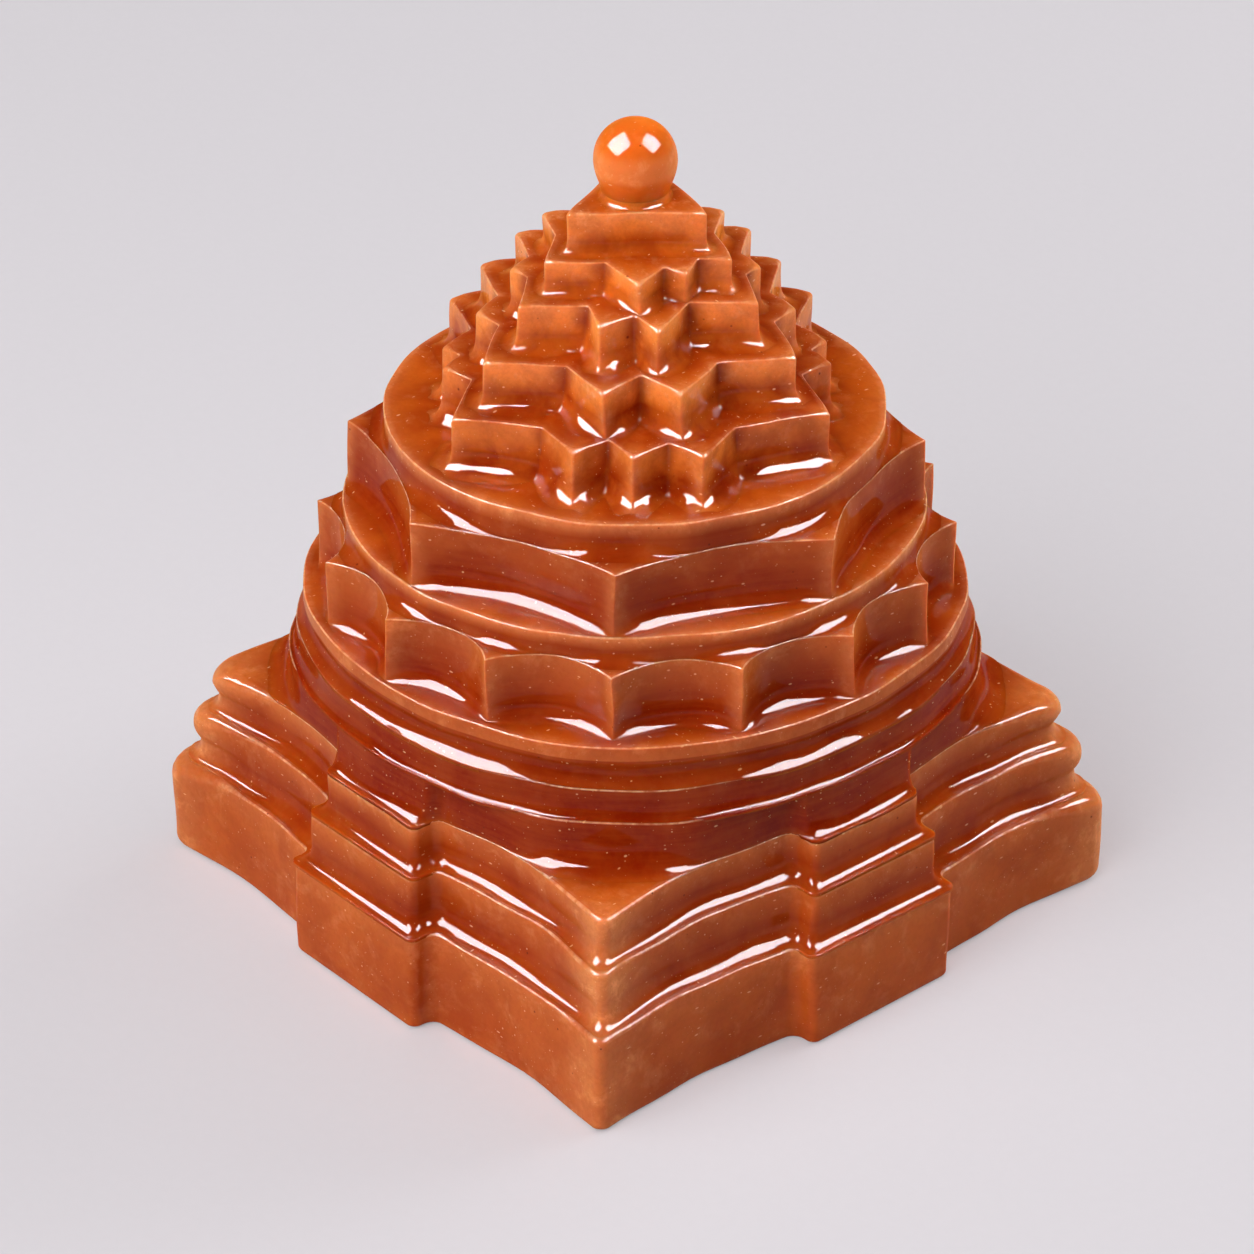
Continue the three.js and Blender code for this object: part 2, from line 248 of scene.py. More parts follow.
# Into how many parts each curve is divided
ARC_PARTS = 6
WING_PARTS = 14
RING_POINTS = 432
SCOOP_POINTS = {16: 26, 8: 44}
SIDE_SPACING = 0.55 * MM

# Over what distance two outlines ease into one: lower girdle and step, disc and petals, ball and neck
GIRDLE_BLEND = 0.9 * MM
DISC_BLEND = 0.1 * MM
NECK_BLEND = 0.9 * MM

# How far a level stays inside the edge of the one under it
KEPT_IN = 0.05 * MM
GIRDLE_KEPT_IN = 0.04 * MM


def arc(centre, radius, start, end, parts=ARC_PARTS):
    angles = np.radians(np.linspace(start, end, parts + 1))
    return np.stack([centre[0] + radius * np.cos(angles), centre[1] + radius * np.sin(angles)], axis=1)


def outward_of(outline_at):
    """The way out from each point of a wall, found by letting its outline grow and shrink a little."""
    probe = 0.05 * MM
    return (outline_at(probe) - outline_at(-probe)) / (2 * probe)


def turned(points, angle):
    cos, sin = math.cos(angle), math.sin(angle)
    return points @ np.array([[cos, sin], [-sin, cos]])


def wing(start, end, wall, dip):
    """The swept wall between a corner and a gate, without its two ends."""
    share = np.linspace(0, 1, WING_PARTS + 1)[1:-1]
    return np.stack([start + (end - start) * share, wall + dip * np.sin(math.pi * share)], axis=1)


def step_outline(steps, level, grow=0.0):
    half = steps.half[level] + grow
    reach = steps.gate_reach[level] + grow
    gate = steps.gate_half[level] + grow
    dip = steps.dip[level]
    nose, root = steps.gate_round, steps.gate_root
    sides = []
    for quarter in range(4):
        first, last = steps.corner_round[quarter], steps.corner_round[(quarter + 1) % 4]
        side = np.concatenate([
            arc((-half + first, -half + first), first, 225, 270),
            wing(-half + first, -gate - root, -half, dip),
            arc((-gate - root, -half - root), root, 90, 0),
            arc((-gate + nose, -reach + nose), nose, 180, 270),
            arc((gate - nose, -reach + nose), nose, 270, 360),
            arc((gate + root, -half - root), root, 180, 90),
            wing(gate + root, half - last, -half, dip),
            arc((half - last, -half + last), last, 270, 315)[:-1],
        ])
        sides.append(turned(side, quarter * math.pi / 2))
    return np.concatenate(sides)


def smooth_least(a, b, blend):
    """The lesser of two values, with the corner between them rounded over blend."""
    mix = np.clip(0.5 + 0.5 * (b - a) / blend, 0, 1)
    return b * (1 - mix) + a * mix - blend * mix * (1 - mix)


def polar(angles, radii):
    return np.stack([radii * np.cos(angles), radii * np.sin(angles)], axis=1)


def ring_angles():
    return np.linspace(0, 2 * math.pi, RING_POINTS, endpoint=False)


def ring_outline(radius, squareness=0.0, grow=0.0):
    """A circle whose radius swells towards the corners of the base."""
    angles = ring_angles()
    return polar(angles, radius + grow - squareness * np.cos(4 * angles))


def radii_at(angles, outline):
    """Distance from the middle to an outline in each direction."""
    around = np.unwrap(np.arctan2(outline[:, 1], outline[:, 0]))
    order = np.argsort(np.mod(around, 2 * math.pi))
    bearing = np.mod(around, 2 * math.pi)[order]
    start = outline[order]
    low = np.searchsorted(bearing, np.mod(angles, 2 * math.pi), side="right") - 1
    a, b = start[low], start[(low + 1) % len(start)]
    ray = polar(angles, np.ones_like(angles))
    edge = b - a
    cross = ray[:, 0] * edge[:, 1] - ray[:, 1] * edge[:, 0]
    return (a[:, 0] * edge[:, 1] - a[:, 1] * edge[:, 0]) / cross


def girdle_outline(girdles, level, grow, limit=None):
    angles = ring_angles()
    outline = ring_outline(girdles.radius[level], girdles.squareness[level], grow)
    if limit is None:
        return outline
    radii = smooth_least(np.hypot(*outline.T), limit, GIRDLE_BLEND)
    return polar(angles, radii)


def petal_outline(count, tip_radius, inner_radius, tip_round, grow=0.0):
    """Points on a rim circle joined by wheel-cut arcs that reach in to inner_radius."""
    half_angle = math.pi / count
    half_chord = tip_radius * math.sin(half_angle)
    depth = tip_radius * math.cos(half_angle) - inner_radius
    wheel = (half_chord ** 2 + depth ** 2) / (2 * depth)
    wheel_centre = inner_radius + wheel
    share = np.linspace(-1, 1, SCOOP_POINTS[count], endpoint=False)

    # The points of a scoop lie closer together towards its tips
    across = half_angle * np.sign(share) * (1 - (1 - np.abs(share)) ** 1.6)
    radii = wheel_centre * np.cos(across) - np.sqrt(
        (wheel - grow) ** 2 - (wheel_centre * np.sin(across)) ** 2)
    radii = smooth_least(radii, np.full_like(radii, tip_radius + min(grow, 0)), tip_round)
    middles = (2 * np.arange(count) + 1) * half_angle
    return np.concatenate([polar(across + middle, radii) for middle in middles])


def grown(corners, grow):
    """Corners moved out by grow, each kept sharp."""
    before = corners - np.roll(corners, 1, axis=0)
    after = np.roll(corners, -1, axis=0) - corners
    before /= np.linalg.norm(before, axis=1)[:, None]
    after /= np.linalg.norm(after, axis=1)[:, None]
    out_before = np.stack([before[:, 1], -before[:, 0]], axis=1)
    out_after = np.stack([after[:, 1], -after[:, 0]], axis=1)
    out = out_before + out_after
    out /= np.linalg.norm(out, axis=1)[:, None]
    return corners + out * (grow / np.sum(out * out_after, axis=1))[:, None]


def turn_at(corners):
    """Positive where the outline turns left, which is a point, and negative at a notch."""
    before = corners - np.roll(corners, 1, axis=0)
    after = np.roll(corners, -1, axis=0) - corners
    return before[:, 0] * after[:, 1] - before[:, 1] * after[:, 0]


def filleted(corners, grow, tip_round, notch_round):
    """A pointed outline with every corner rounded and its sides divided evenly."""
    lengths = np.linalg.norm(np.roll(corners, -1, axis=0) - corners, axis=1)
    parts = np.maximum(3, np.ceil(lengths / SIDE_SPACING).astype(int))
    moved = grown(corners, grow)
    turns = turn_at(corners)
    starts, ends, arcs = [], [], []
    for i, here in enumerate(moved):
        back, on = moved[i - 1] - here, moved[(i + 1) % len(moved)] - here
        back_length, on_length = np.linalg.norm(back), np.linalg.norm(on)
        back, on = back / back_length, on / on_length
        half = 0.5 * math.acos(np.clip(back @ on, -1, 1))
        radius = tip_round if turns[i] > 0 else notch_round
        tangent = min(radius / math.tan(half), 0.4 * min(back_length, on_length))
        bisector = (back + on) / np.linalg.norm(back + on)
        radius = tangent * math.tan(half)
        centre = here + bisector * (radius / math.sin(half))
        start, end = here + back * tangent, here + on * tangent
        first = math.atan2(*(start - centre)[::-1])
        sweep = (math.atan2(*(end - centre)[::-1]) - first + math.pi) % (2 * math.pi) - math.pi
        angles = first + sweep * np.linspace(0, 1, ARC_PARTS + 1)
        arcs.append(centre + polar(angles, np.full_like(angles, radius)))
        starts.append(start)
        ends.append(end)
    outline = []
    for i, bend in enumerate(arcs):
        following = starts[(i + 1) % len(arcs)]
        share = np.linspace(0, 1, parts[i] + 1)[1:-1, None]
        outline += [bend, ends[i] + (following - ends[i]) * share]
    return np.concatenate(outline)


def top_corners(node):
    """Corners round the top face of a packed pointed tier, anticlockwise."""
    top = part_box(node)[1].z
    found = {
        (round(v.co.x / MM, 3), round(v.co.y / MM, 3))
        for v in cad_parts[node].data.vertices if abs(v.co.z - top) < 0.01 * MM
    }
    corners = np.array(sorted(found, key=lambda p: math.atan2(p[1], p[0]))) * MM
    while True:
        straight = np.abs(turn_at(corners)) < (0.05 * MM) ** 2
        if not straight.any():
            return corners
        corners = corners[~straight]


def point_wear(outline, corners, polish):
    """1 along the sides, and more towards each point, most at the back, where the edges are rounder."""
    tips = corners[turn_at(corners) > 0]
    gaps = np.linalg.norm(outline[:, None, :] - tips[None, :, :], axis=2)
    nearest = gaps.argmin(axis=1)
    ahead = tips @ np.array(FRONT) / np.linalg.norm(tips, axis=1)
    back = np.clip(0.5 - 1.2 * ahead, 0, 1)
    roll = polish.front_roll + (polish.back_roll - polish.front_roll) * back
    more = roll[nearest] / polish.edge_round - 1
    return 1 + more * np.exp(-(gaps.min(axis=1) / polish.tip_wear) ** 2)


def inside(points, outline):
    """Whether each point lies in an outline."""
    a, b = outline, np.roll(outline, -1, axis=0)
    x, y = points[..., 0:1], points[..., 1:2]
    crosses = (a[:, 1] > y) != (b[:, 1] > y)
    rise = np.where(b[:, 1] == a[:, 1], 1e-12, b[:, 1] - a[:, 1])
    at = a[:, 0] + (y - a[:, 1]) * (b[:, 0] - a[:, 0]) / rise
    return (crosses & (x < at)).sum(axis=-1) % 2 == 1


def gap_to(points, outline):
    """Distance from each point to the nearest side of an outline."""
    start = outline[None]
    side = np.roll(outline, -1, axis=0)[None] - start
    away = points[:, None] - start
    share = np.clip((away * side).sum(axis=2) / np.maximum((side ** 2).sum(axis=2), 1e-14), 0, 1)
    return np.linalg.norm(away - side * share[..., None], axis=2).min(axis=1)


def foot_share(wall, foot, below):
    """How much of the way from wall to foot stays on the level below, eased along the outline."""
    if below is None:
        return np.ones(len(wall))
    shares = np.linspace(1, 0, 26)
    spots = wall[None] + (foot - wall)[None] * shares[:, None, None]
    held = inside(spots, below)
    best = shares[np.argmax(held, axis=0)]
    best[~held.any(axis=0)] = 0
    around = (-2, -1, 0, 1, 2)
    least = np.min([np.roll(best, shift) for shift in around], axis=0)
    return np.mean([np.roll(least, shift) for shift in around], axis=0)


# Meshes


class Rings:
    """Rows of points round the middle, lowest first, which become one closed carved level."""

    def __init__(self, node, thin=0.0, dark=0.0):
        below = LEVELS[max(0, LEVELS.index(node) - 1)]
        self.node = node
        self.deep, self.pale, self.shade = LEVEL_TONES_AND_PAINTED_LIGHT[node]
        self.deep_below, _, self.shade_below = LEVEL_TONES_AND_PAINTED_LIGHT[below]
        self.thin = thin
        self.dark = dark
        self.points = []
        self.masks = []

    def add(self, outline, height, hollow=0.0, tread=0.0, edge=0.0, glow=0.0, lip=0.0, fade=1.0):
        """One more row. Where it is lip, its painted darkness and shade are those of the level below."""
        thin = np.asarray(self.thin) * fade
        count = len(outline)
        deep = self.deep + (self.deep_below - self.deep) * lip
        shade = self.shade + (self.shade_below - self.shade) * lip
        # Painted shade: the level's painted darkness and the shade of its feet, less where the painted
        # glow lifts it
        hollow = (deep + (1 - deep) * shade * np.asarray(hollow)) * (1 - DARK_LIFTED * thin)
        # Painted shade in the notches between points
        hollow = np.maximum(hollow, self.dark * (1 - tread))
        # Painted glow where light would come through, less on the treads
        glow = np.maximum(np.asarray(glow) * self.pale, thin * (1 - TREAD_LOSS * tread))
        heights = np.broadcast_to(np.asarray(height, float), count)
        self.points.append(np.column_stack([outline, heights]))
        self.masks.append(np.column_stack([np.broadcast_to(np.asarray(m, float), count)
                                           for m in (hollow, tread, edge, glow)]))


# What the finish reads from a mesh: painted shade in the hollow feet, notches and darker levels, level
# treads, painted highlight lines on the edges, and painted glow where light would come through
MASKS = ("hollow", "tread", "edge", "glow")

# How dark the painted shade is where a hollow foot runs out into the tread
LIP_SHADE = 0.75

# The narrow strip along each lip, as a part of the hollow's sweep, that keeps the polish level there
LIP_STRIP = 0.02

# How high over its hollow foot a wall is drawn in
BELLY_HEIGHT = 1.3 * MM

# How fast the painted shade of a foot falls off up the wall
SHADE_FALL = {STONE: 1.6, THIN_STONE: 2.3}

# How much of the painted shade the painted glow of a thin part takes away, and how much of that glow the
# treads lose
DARK_LIFTED = 0.7
TREAD_LOSS = 0.6

# How much painted glow an edge gets, standing for light coming through it, and how much of it is painted
# on the tread behind it
EDGE_GLOW = 0.9
TREAD_GLOW = 0.35

# How much painted glow a petal's or tier's tips get, for light coming through them, and how dark the
# painted shade in the notches between tips is
TIP_LIGHT = 0.6
NOTCH_DARKNESS = 0.85

# How much narrower a hollow foot is at a fully worn corner of a step, and at the corners of a tier
WORN_NARROWING = 0.7
TIP_NARROWING = 0.62

# Direction and phase of the waves that add up to the waviness of hand grinding
HAND_WAVES = (
    ((0.9, 0.3, 0.5), 0.3), ((-0.4, 0.8, 0.6), 1.9), ((0.5, -0.7, 0.9), 4.1),
    ((1.3, 0.9, -0.4), 2.6), ((-0.8, -1.2, 0.7), 5.2),
)

# How much of the waviness goes along x, y and z, and how far its phase moves from each to the next
WAVE_SHARES = (0.42, 0.42, 0.25)
WAVE_SHIFT = 1.7

# The shrinking along x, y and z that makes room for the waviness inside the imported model's box
ROOM_FOR_WAVES = (0.9965, 0.9965, 0.9985)


def hand_ground(points, polish, hand):
    """Points strayed by the hand of the carver, the same way for every level at the same place."""
    strayed = points.copy()
    rate = 2 * math.pi / polish.wave_length
    off_the_ground = np.clip(points[:, 2] / (3 * MM), 0, 1)
    for axis, share in enumerate(WAVE_SHARES):
        stray = np.zeros(len(points))
        for direction, phase in HAND_WAVES:
            turned_way = np.roll(direction, axis)
            stray += np.sin(rate * (points @ turned_way) + phase + WAVE_SHIFT * axis)
        held = off_the_ground if axis == 2 else 1
        strayed[:, axis] += stray * share * hand * polish.waviness * held
    return strayed


def fitted(points):
    """Points drawn in so that the hand-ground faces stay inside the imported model's box."""
    low, high = np.array(CAD_BOX[0]), np.array(CAD_BOX[1])
    return np.clip(points * np.array(ROOM_FOR_WAVES), low, high)


def carve(rings, slot, hand=1.0):
    """One closed mesh through the rings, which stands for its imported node."""
    node = rings.node
    polish = bpy.context.scene.yantra_polish
    count = len(rings.points[0])
    rows = len(rings.points)
    ring_points = np.concatenate(rings.points)
    ring_masks = np.concatenate(rings.masks)
    ends = np.stack([rings.points[0].mean(axis=0), rings.points[-1].mean(axis=0)])
    end_masks = np.stack([rings.masks[0].mean(axis=0), rings.masks[-1].mean(axis=0)])
    points = fitted(hand_ground(np.concatenate([ring_points, ends]), polish, hand))
    masks = np.concatenate([ring_masks, end_masks])
    here = np.arange(count)
    after = np.roll(here, -1)
    starts = (np.arange(rows - 1) * count)[:, None]
    over = starts + count
    quads = np.stack([starts + here, starts + after, over + after, over + here], axis=-1)
    bottom, top = rows * count, rows * count + 1
    last = (rows - 1) * count
    faces = quads.reshape(-1, 4).tolist()
    faces += [[bottom, b, a] for a, b in zip(here.tolist(), after.tolist())]
    faces += [[top, last + a, last + b] for a, b in zip(here.tolist(), after.tolist())]
    name = "carved_" + node
    mesh = bpy.data.meshes.new(name)
    mesh.from_pydata(points.tolist(), [], faces)
    mesh.polygons.foreach_set("use_smooth", [True] * len(mesh.polygons))
    for column, mask in enumerate(MASKS):
        layer = mesh.attributes.new(mask, "FLOAT", "POINT")
        layer.data.foreach_set("value", masks[:, column].astype(np.float32))
    mesh.validate()
    mesh.update()
    piece = bpy.data.objects.new(name, mesh)
    bpy.context.scene.collection.objects.link(piece)
    mesh.materials.append(stone_material(slot))
    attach(piece, "root")
    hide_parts(node)


def level_span(node):
    low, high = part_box(node)
    return low.z, high.z


def foot_on(node):
    """The foot of the level that stands on a node's tread."""
    return FEET.get(LEVELS[LEVELS.index(node) + 1])


def add_underside(rings, outline, bottom):
    """The hidden underside, a little inside the level below, and the short way up to its tread."""
    sunk = bottom - bpy.context.scene.yantra_polish.sink
    for share in (0.06, 0.35, 0.65, 0.9, 1.0):
        rings.add(outline * share, sunk)


def add_cove(rings, wall, foot, bottom, cove_height, hollow=0.95):
    """The hollow foot, from its thin outer lip up to the wall, with painted shade that deepens towards
    the wall.
    """
    lip = min(hollow, LIP_SHADE)
    for turn in (0, LIP_STRIP, *np.linspace(0, math.pi / 2, 11)[1:]):
        out = 1 - math.sin(turn)
        rise = 1 - math.cos(turn)
        depth = min(1.0, turn / (0.30 * math.pi))
        eased = depth * depth * (3 - 2 * depth)
        rings.add(wall + (foot - wall) * out, bottom + cove_height * rise,
                  hollow=lip + (hollow - lip) * eased, tread=1 - depth, lip=1 - eased)


def add_wall(rings, wall, outward, start, end, top, fall, belly):
    """The upright wall, with painted shade low down over the hollow that it rises from and painted glow
    under its edge.
    """
    support = min(0.12 * MM, 0.15 * (end - start))
    for height in (start + support, *np.linspace(start, end, 8)[1:-1], end - support):
        over = (height - start) / (top - start)
        drawn_in = belly * max(0.0, 1 - (height - start) / BELLY_HEIGHT) ** 2
        rings.add(wall - outward * drawn_in[:, None], height,
                  hollow=0.95 * (1 - over) ** fall, glow=EDGE_GLOW * over ** 1.1)


def add_tread(rings, wall, outward, top, wear, foot=None):
    """The rounded edge of a tread, with a painted highlight line and glow, and the tread itself, in to
    the middle, with painted shade near the foot on it.
    """
    polish = bpy.context.scene.yantra_polish
    reach = polish.edge_round * wear
    # How strong the painted highlight line along the edge is
    line = np.minimum(1.0, 1.6 / wear)

    def shade(points):
        if foot is None:
            return 0.0
        gap = np.where(inside(points, foot), 0.0, gap_to(points, foot))
        return LIP_SHADE * np.exp(-(gap / polish.shade_reach) ** 2)

    for turn in np.linspace(0, math.pi / 2, 8):
        inset = -reach * (1 - math.cos(turn))
        drop = reach * (1 - math.sin(turn))
        points = wall + outward * inset[:, None]
        level = math.sin(turn) ** 2
        rings.add(points, top - drop, hollow=level * shade(points), tread=level,
                  edge=line * math.sin(2 * turn) ** 0.5, glow=EDGE_GLOW - 0.5 * level)
    inner = wall - outward * (reach * 1.35)[:, None]
    rings.add(inner, top, hollow=shade(inner), tread=1.0, edge=0.2 * line, glow=TREAD_GLOW)
    span = np.hypot(*inner.T).max()
    fine, coarse = np.arange(0.5, 9, 0.5) * MM, np.arange(9 * MM, span - 1 * MM, 3 * MM)
    depths = np.concatenate([fine, coarse])
    for depth in depths[depths < span - 0.4 * MM]:
        points = inner * (1 - depth / span)
        rings.add(points, top, hollow=shade(points), tread=1.0,
                  glow=TREAD_GLOW * math.exp(-depth / (0.7 * MM)),
                  fade=math.exp(-(depth / polish.fade_reach) ** 2))


def near_tips(outline, tips, reach):
    """How near each point of an outline is to a tip or other given corner, for painted glow at tips,
    painted shade at notches and narrower feet.
    """
    gaps = np.linalg.norm(outline[:, None, :] - tips[None, :, :], axis=2).min(axis=1)
    return np.exp(-(gaps / reach) ** 2)


def add_level(node, slot, outline_at, cove_reach, cove_height, below=None,
              wear=1.0, belly=0.0, narrow=0.0, thin=0.0, dark=0.0):
    """A level with an upright wall, a hollow foot and a tread."""
    bottom, top = level_span(node)
    wall = outline_at(0.0)
    outward = outward_of(outline_at)
    wear, belly, narrow = (np.broadcast_to(amount, len(wall)) for amount in (wear, belly, narrow))
    foot = outline_at(cove_reach)
    foot = wall + (foot - wall) * (foot_share(wall, foot, below) * (1 - narrow))[:, None]
    rings = Rings(node, thin, dark)
    FEET[node] = foot
    add_underside(rings, foot, bottom)
    add_cove(rings, wall - outward * belly[:, None], foot, bottom, cove_height)
    edge = bpy.context.scene.yantra_polish.edge_round * wear.max()
    add_wall(rings, wall, outward, bottom + cove_height, top - edge, top, SHADE_FALL[slot], belly)
    add_tread(rings, wall, outward, top, wear, foot_on(node))
    carve(rings, slot)


# Finish of the stone


def new_group(name, inputs, outputs):
    """A shader node group with named sockets: (name, socket type, default)."""
    group = bpy.data.node_groups.new(name, "ShaderNodeTree")
    for label, kind, default in inputs:
        socket = group.interface.new_socket(label, in_out="INPUT", socket_type=kind)
        socket.default_value = default
    for label, kind in outputs:
        group.interface.new_socket(label, in_out="OUTPUT", socket_type=kind)
    return group, group.nodes.new("NodeGroupInput"), group.nodes.new("NodeGroupOutput")


class Wiring:
    """Short ways to add nodes to a tree."""

    def __init__(self, tree):
        self.tree = tree

    def node(self, kind, values=None, **settings):
        made = self.tree.nodes.new(kind)
        for key, value in settings.items():
            setattr(made, key, value)
        for socket, value in (values or {}).items():
            self.feed(made.inputs[socket], value)
        return made

    def feed(self, socket, value):
        if isinstance(value, bpy.types.NodeSocket):
            self.tree.links.new(value, socket)
        else:
            socket.default_value = value

    def math(self, operation, *values):
        made = self.tree.nodes.new("ShaderNodeMath")
        made.operation = operation
        for socket, value in zip(made.inputs, values):
            self.feed(socket, value)
        return made.outputs[0]

    def mix(self, share, first, second):
        made = self.node("ShaderNodeMix", data_type="RGBA")
        self.feed(made.inputs[0], share)
        self.feed(made.inputs[6], first)
        self.feed(made.inputs[7], second)
        return made.outputs[2]

    def remap(self, value, low, high, to_low=0.0, to_high=1.0, smooth=True):
        kind = "SMOOTHSTEP" if smooth else "LINEAR"
        made = self.node("ShaderNodeMapRange", interpolation_type=kind)
        for socket, amount in zip(made.inputs, (value, low, high, to_low, to_high)):
            self.feed(socket, amount)
        return made.outputs[0]

    def noise(self, place, scale, detail=3.0, roughness=0.5, distortion=0.0):
        made = self.node("ShaderNodeTexNoise")
        values = (("Vector", place), ("Scale", scale), ("Detail", detail),
                  ("Roughness", roughness), ("Distortion", distortion))
        for socket, amount in values:
            self.feed(made.inputs[socket], amount)
        return made.outputs[0]


def clouds_group():
    """Soft dark clouds and fine pale veils that run through the whole block."""
    group, given, out = new_group(
        "Stone clouds",
        [("Vector", "NodeSocketVector", (0, 0, 0)), ("Cloud Size", "NodeSocketFloat", 7 * MM)],
        [("Cloud", "NodeSocketFloat"), ("Veil", "NodeSocketFloat"), ("Grain", "NodeSocketFloat")],
    )
    w = Wiring(group)
    rate = w.math("DIVIDE", 1.0, given.outputs["Cloud Size"])
    grain = w.noise(given.outputs["Vector"], w.math("MULTIPLY", rate, 11.0), 3.0, 0.62, 0.2)
    w.feed(out.inputs["Grain"], w.remap(grain, 0.42, 0.66))
    cloud = w.noise(given.outputs["Vector"], rate, 4.0, 0.55, 0.35)
    veil = w.noise(given.outputs["Vector"], w.math("MULTIPLY", rate, 2.3), 6.0, 0.66, 0.3)
    w.feed(out.inputs["Cloud"], w.remap(cloud, 0.36, 0.66))
    w.feed(out.inputs["Veil"], w.remap(veil, 0.50, 0.72))
    return group


def specks_group():
    """Scattered long or round specks, of which only a share of the cells hold one."""
    group, given, out = new_group(
        "Stone specks",
        [
            ("Vector", "NodeSocketVector", (0, 0, 0)), ("Spacing", "NodeSocketFloat", 1 * MM),
            ("Share", "NodeSocketFloat", 0.4), ("Speck Size", "NodeSocketFloat", 0.13),
            ("Turn", "NodeSocketVector", (0, 0, 0)), ("Squeeze", "NodeSocketVector", (1, 1, 1)),
        ],
        [("Mask", "NodeSocketFloat")],
    )
    w = Wiring(group)
    rate = w.math("DIVIDE", 1.0, given.outputs["Spacing"])
    laid = w.node("ShaderNodeMapping", {
        "Vector": given.outputs["Vector"], "Rotation": given.outputs["Turn"],
        "Scale": given.outputs["Squeeze"]})
    cells = w.node("ShaderNodeTexVoronoi", {"Vector": laid.outputs["Vector"], "Scale": rate})
    chance = w.node("ShaderNodeSeparateColor", {"Color": cells.outputs["Color"]})
    held = w.math("LESS_THAN", chance.outputs["Red"], given.outputs["Share"])
    spread = w.remap(chance.outputs["Green"], 0, 1, 0.35, 1.3, False)
    reach = w.math("MULTIPLY", given.outputs["Speck Size"], spread)
    dot = w.remap(w.math("DIVIDE", cells.outputs["Distance"], reach), 0.4, 1.0, 1.0, 0.0)
    w.feed(out.inputs["Mask"], w.math("MULTIPLY", dot, held))
    return group


def polish_group():
    """Faint unevenness that the polishing wheel left."""
    group, given, out = new_group(
        "Wheel polish",
        [("Vector", "NodeSocketVector", (0, 0, 0)), ("Ripple Size", "NodeSocketFloat", 2.4 * MM)],
        [("Ripple", "NodeSocketFloat"), ("Haze", "NodeSocketFloat"), ("Lines", "NodeSocketFloat")],
    )
    w = Wiring(group)
    rate = w.math("DIVIDE", 1.0, given.outputs["Ripple Size"])
    along = w.node("ShaderNodeMapping", {"Vector": given.outputs["Vector"], "Scale": (0.07, 0.07, 1.0)})
    lines = w.noise(along.outputs["Vector"], w.math("MULTIPLY", rate, 4.5), 4.0, 0.6, 0.3)
    w.feed(out.inputs["Lines"], w.remap(lines, 0.40, 0.64))
    w.feed(out.inputs["Ripple"], w.noise(given.outputs["Vector"], rate, 2.0, 0.4, 0.2))
    haze = w.noise(given.outputs["Vector"], w.math("MULTIPLY", rate, 2.3), 5.0, 0.6, 0.6)
    w.feed(out.inputs["Haze"], w.remap(haze, 0.35, 0.75))
    return group


# The finish of the stone, the thin stone and the ball: name, then a value for each
SLOTS = (STONE, THIN_STONE, BALL_STONE)
FINISH = (
    ("cloud_size", 5.5 * MM, 3.4 * MM, 4.0 * MM),
    ("cloudiness", 0.62, 0.50, 0.22),
    # lightness: how strong the painted glow is
    ("lightness", 0.90, 0.92, 0.52),
    ("veiling", 0.16, 0.24, 0.15),
    ("graininess", 0.16, 0.12, 0.03),
    ("wheel_lines", 0.11, 0.06, 0.05),
    # faintest_edge and clearest_edge: how faint and how clear the painted edge highlight is
    ("faintest_edge", 0.15, 0.05, 0.0),
    ("clearest_edge", 0.75, 0.5, 0.0),
    ("pit_size", 0.07, 0.08, 0.13),
    ("ripple", 0.22, 0.20, 0.04),
    ("depth", 1.2 * MM, 1.1 * MM, 2.4 * MM),
    ("coat", 0.24, 0.32, 0.22),
)

# The specks in the stone: spacing, share of the cells that hold one, size, turn and squeeze
DUST = {"Spacing": 0.42 * MM, "Share": 0.5, "Speck Size": 0.17}
FLECK = {"Spacing": 0.75 * MM, "Share": 0.5, "Speck Size": 0.13, "Turn": (0.7, 0.3, 1.1),
         "Squeeze": (1, 0.42, 1)}
DASH = {"Spacing": 0.7 * MM, "Share": 0.35, "Speck Size": 0.12, "Turn": (-0.5, 1.2, 0.4),
        "Squeeze": (0.35, 1, 1)}


